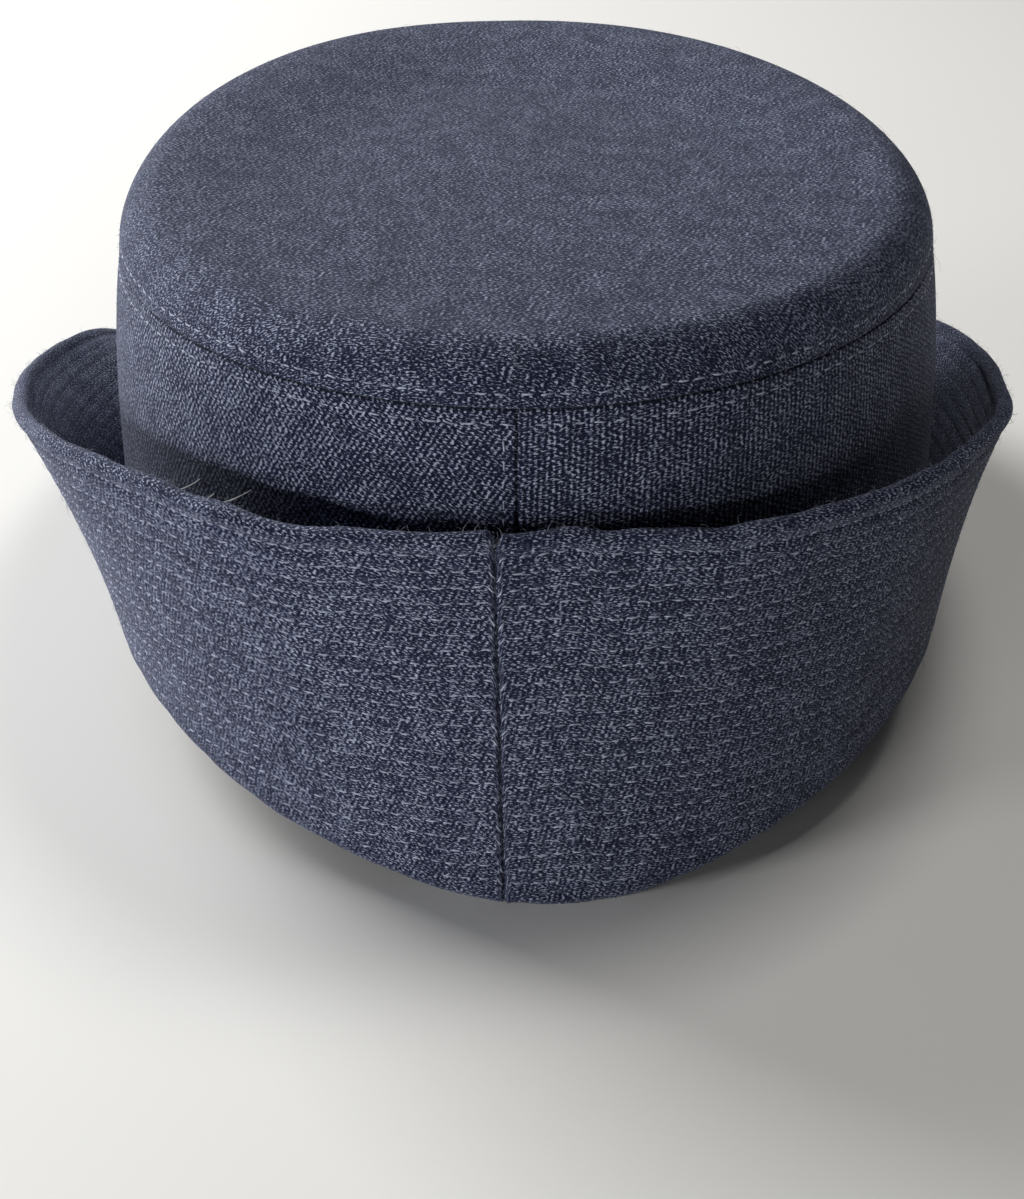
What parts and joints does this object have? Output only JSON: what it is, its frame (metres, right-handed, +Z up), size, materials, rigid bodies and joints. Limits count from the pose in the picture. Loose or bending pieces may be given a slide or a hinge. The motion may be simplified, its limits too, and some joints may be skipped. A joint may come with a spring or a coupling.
{
  "type": "peaked cap with turned-up brim",
  "caption": "Cloth cap with an oval crown and one stitched brim, turned up at the back and sides and running out as a peak in front; hollow for a head.",
  "frame": {"origin": "on the surface that the cap stands on, under the middle of its bounding box", "axes": "+Z up, +Y towards the back of the head, -Y the way the peak points, +X the wearer's left"},
  "size_m": [0.209, 0.258, 0.1068],
  "materials": {
    "crown_cloth": "matt heathered navy wool suiting",
    "brim_cloth": "matt heathered navy wool suiting with rows of stitching"
  },
  "bodies": {
    "root": {"crown_top": "crown_cloth", "crown_side": "crown_cloth", "brim": "brim_cloth"}
  },
  "joints": []
}
